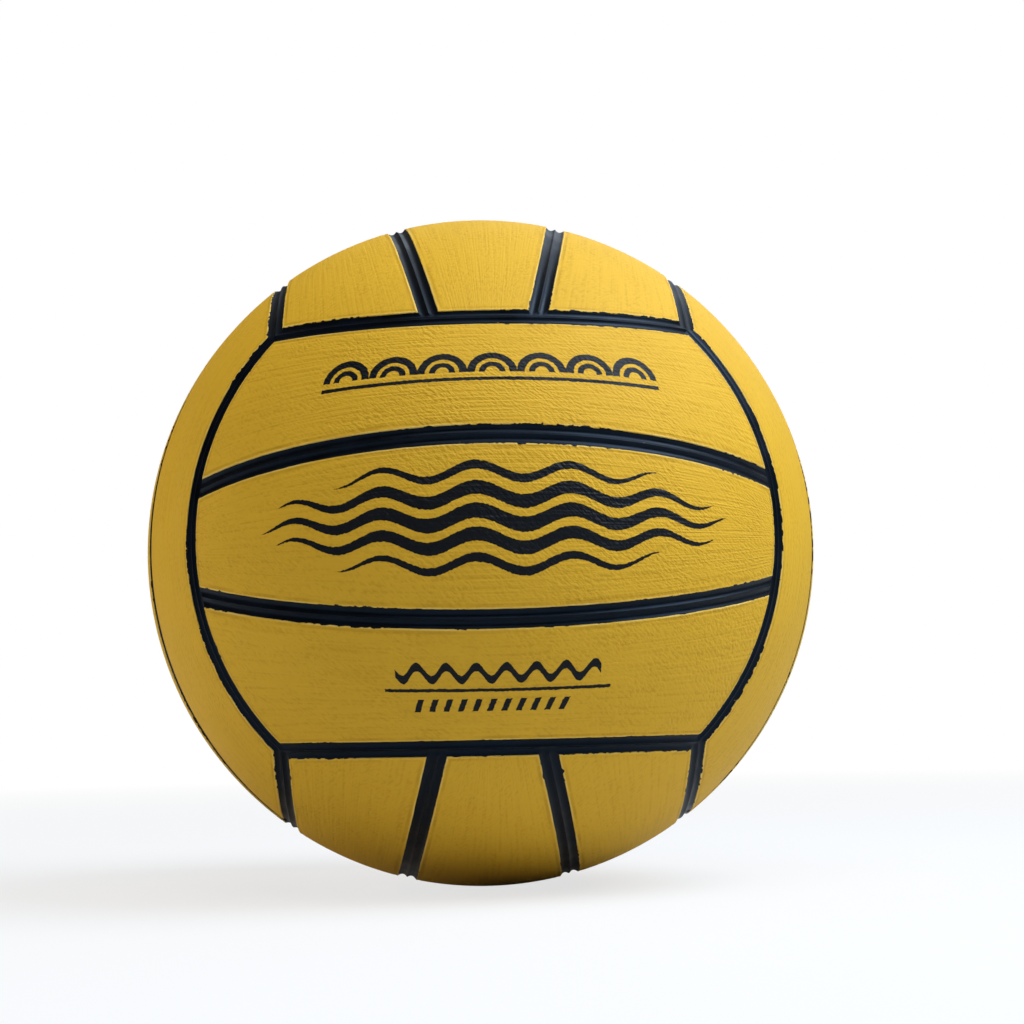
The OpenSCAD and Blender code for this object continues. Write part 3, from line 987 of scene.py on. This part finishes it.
def revolved(name, outline, material):
    """A closed piece turned round the valve's axis, +Y, from an outline of (radius, height)."""
    points, faces, rings = [], [], []
    for point in outline:
        if point.x == 0:
            rings.append([len(points)] * valve_segments)
            points.append((0.0, point.y, 0.0))
            continue
        rings.append(list(range(len(points), len(points) + valve_segments)))
        for k in range(valve_segments):
            angle = 2 * math.pi * k / valve_segments
            points.append((point.x * math.cos(angle), point.y, point.x * math.sin(angle)))
    for here, there in zip(rings, rings[1:] + rings[:1]):
        if here[0] == here[1] and there[0] == there[1]:
            continue
        for k in range(valve_segments):
            n = (k + 1) % valve_segments
            faces.append(list(dict.fromkeys([here[k], here[n], there[n], there[k]])))
    mesh = bpy.data.meshes.new(name)
    mesh.from_pydata(points, [], faces)
    mesh.shade_smooth()
    mesh.materials.append(material)
    return new_object(name, mesh)


core_top = ball_r - core_recess
core_bottom = core_top - core_length
bulb_middle = core_top - core_length * bulb_share


def core_sides(play):
    """The core's outer corners from the top down, grown by the play in its pocket."""
    head, shank, bulb = core_head_r + play, core_shank_r + play, core_bulb_r + play
    under_head = core_top - core_head_t - play
    return [(head, core_top + play), (head, under_head), (shank, under_head),
            (shank, bulb_middle + core_bulb_t / 2 + play), (bulb, bulb_middle + core_bulb_t / 4 + play),
            (bulb, bulb_middle - core_bulb_t / 4 - play), (shank, bulb_middle - core_bulb_t / 2 - play),
            (shank, core_bottom - play)]


core_outline = [(0, core_top - needle_depth), (needle_r, core_top - needle_depth),
                (needle_r, core_top - mouth_depth), (mouth_r, core_top)] + core_sides(0) + [(0, core_bottom)]
neck_top = ball_r - neck_recess
pocket_bottom = ball_r - housing_length
flange_top = math.sqrt((ball_r - flange_out) ** 2 - neck_r ** 2)
flange_drop = ball_r - flange_out - math.sqrt((ball_r - flange_out) ** 2 - flange_r ** 2)
flange_line = [(neck_r + (flange_r - neck_r) * share, flange_top - flange_drop * share ** 2)
               for share in (1.0, 0.75, 0.5, 0.25)]
pocket = [(core_head_r + core_play, neck_top)] + core_sides(core_play)[1:]
housing_outline = (pocket + [(air_hole_r, core_bottom - core_play), (air_hole_r, pocket_bottom)]
                   + [(neck_r, pocket_bottom), (neck_r, flange_top - flange_t)]
                   + [(r, h - flange_t) for r, h in flange_line[::-1]]
                   + flange_line + [(neck_r, flange_top), (neck_r, neck_top)])
for piece_name, slot_name, outline, rubber_name, black, smoothest, roughest in (
        ("valve_housing", "valve_rubber", housing_outline, "housing_rubber", valve_black, 0.38, 0.55),
        ("valve_core", "core_rubber", core_outline, "plug_rubber", core_black, 0.45, 0.62)):
    rubber = black_rubber(
        rubber_name, black, valve_worn, smoothest, roughest, speck_share=0.16, speck_colour=valve_dust)
    piece = revolved(piece_name + "_shaped", eased(outline, valve_round), rubber)
    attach(piece, "root")
    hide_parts(piece_name)


# Bladder: an airtight ball of butyl rubber, moulded in one, that lies against the winding. It's
# dusted with chalk so that it doesn't stick while the ball is cured.
bladder_black = (0.018, 0.017, 0.017, 1.0)
bladder_chalked = (0.060, 0.058, 0.055, 1.0)
chalk = (0.42, 0.41, 0.39, 1.0)
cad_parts["bladder"].data.materials[0] = black_rubber(
    "bladder_butyl", bladder_black, bladder_chalked, smoothest=0.55, roughest=0.75,
    speck_share=0.45, speck_colour=chalk)


# Winding: nylon thread, wound round the bladder in great circles and dipped in latex, which
# keeps the ball round under pressure.
thread_pale = (0.62, 0.58, 0.48, 1.0)
thread_dark = (0.30, 0.26, 0.19, 1.0)
thread_pitch = 0.0011
# A wave texture's lines lie about this far apart at scale 1
wave_texture_pitch = 0.314
thread_relief = 0.0003
thread_turns = (0.0, 60.0, 120.0)
thread_tilt = math.radians(35)
thread_dark_to = 0.3
thread_pale_from = 0.95
thread_roughness = 0.5
weave_strength = 0.8


def thread_rubber():
    """Pale threads that cross three ways, darker where latex lies between them."""
    made, tree, out, place = new_material("latexed_thread")
    height = None
    for turn in thread_turns:
        laid = add(tree, "ShaderNodeMapping", {
            "Vector": place,
            "Rotation": (math.radians(turn), thread_tilt, math.radians(turn / 2))}).outputs[0]
        threads = add(tree, "ShaderNodeTexWave", {
            "Vector": laid, "Scale": wave_texture_pitch / thread_pitch, "Distortion": 3.0,
            "Detail": 1.0, "Detail Scale": 0.05}).outputs["Fac"]
        height = threads if height is None else calc(tree, "MAXIMUM", height, threads)
    colour = mix(tree, ramp(tree, height, thread_dark_to, thread_pale_from), thread_dark, thread_pale)
    lay_skin(tree, out, colour, thread_roughness, height, thread_relief, weave_strength)
    return made


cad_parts["nylon_winding"].data.materials[0] = thread_rubber()


# Patch: a ring of canvas, rubbered on both sides. It's cemented round the valve's neck, where it
# fills the opening that the winding leaves.
canvas_pale = (0.52, 0.42, 0.27, 1.0)
canvas_dark = (0.25, 0.18, 0.10, 1.0)
canvas_pitch = 0.0009
canvas_relief = 0.0003
canvas_roughness = 0.8
fuzz_scale = 900.0
fuzz_share = 0.4


def patch_canvas():
    """Plain weave: each thread rises over its neighbours in turn."""
    made, tree, out, place = new_material("rubbered_canvas")
    parts = add(tree, "ShaderNodeSeparateXYZ", {0: place})
    across = calc(tree, "SINE", calc(tree, "MULTIPLY", parts.outputs["X"], math.pi / canvas_pitch))
    along = calc(tree, "SINE", calc(tree, "MULTIPLY", parts.outputs["Z"], math.pi / canvas_pitch))
    weave = calc(tree, "MULTIPLY_ADD", calc(tree, "MULTIPLY", across, along), 0.5, 0.5)
    height = calc(tree, "MULTIPLY_ADD", soft_noise(tree, place, fuzz_scale, 3.0), fuzz_share,
                  calc(tree, "MULTIPLY", weave, 1 - fuzz_share))
    colour = mix(tree, height, canvas_dark, canvas_pale)
    lay_skin(tree, out, colour, canvas_roughness, height, canvas_relief, weave_strength)
    return made


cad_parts["valve_patch"].data.materials[0] = patch_canvas()
